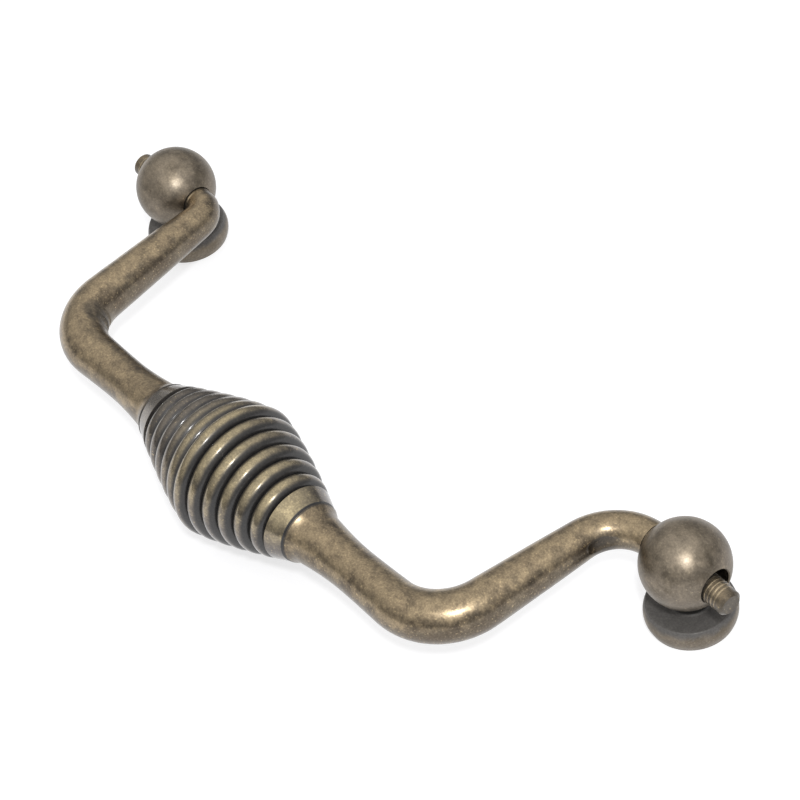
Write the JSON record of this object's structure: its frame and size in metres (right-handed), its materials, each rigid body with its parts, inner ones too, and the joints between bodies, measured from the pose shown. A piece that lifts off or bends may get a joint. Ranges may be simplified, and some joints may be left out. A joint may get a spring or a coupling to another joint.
{
  "type": "bail pull",
  "caption": "Furniture pull with a swinging bail: bent arms carry a ridged beehive grip and turn in ball-topped posts that are screwed on from behind.",
  "frame": {"origin": "midway between the screw holes of the posts, on the mounting plane under the feet", "axes": "+X along the pivot from the left post to the right post, +Z out of the mounting plane, and the lowered bail lies towards -Y"},
  "size_m": [0.1489, 0.053, 0.0234],
  "materials": {
    "post_brass": "antique brass, brown-grey patina on the balls, dark in the coves",
    "arm_brass": "antique brass, rubbed golden on the upper sides",
    "grip_brass": "antique brass, rubbed on the ridges and dark in the grooves"
  },
  "bodies": {
    "left_post": {"left_post": "post_brass"},
    "bail": {"left_arm": "arm_brass", "right_arm": "arm_brass", "beehive_grip": "grip_brass"},
    "right_post": {"right_post": "post_brass"}
  },
  "joints": [
    {"name": "bail_swing", "type": "hinge", "parent": "left_post", "child": "bail", "pos_m": [-0.064, 0, 0.0122], "axis": [-1, 0, 0], "range_deg": [0, 181.5]},
    {"name": "right_post_pivot", "type": "hinge", "parent": "bail", "child": "right_post", "pos_m": [0.064, 0, 0.0122], "axis": [1, 0, 0], "range_deg": [0, 181.5]}
  ],
  "couplings": [
    {"joint": "right_post_pivot", "follows": "bail_swing", "ratio": 1}
  ]
}
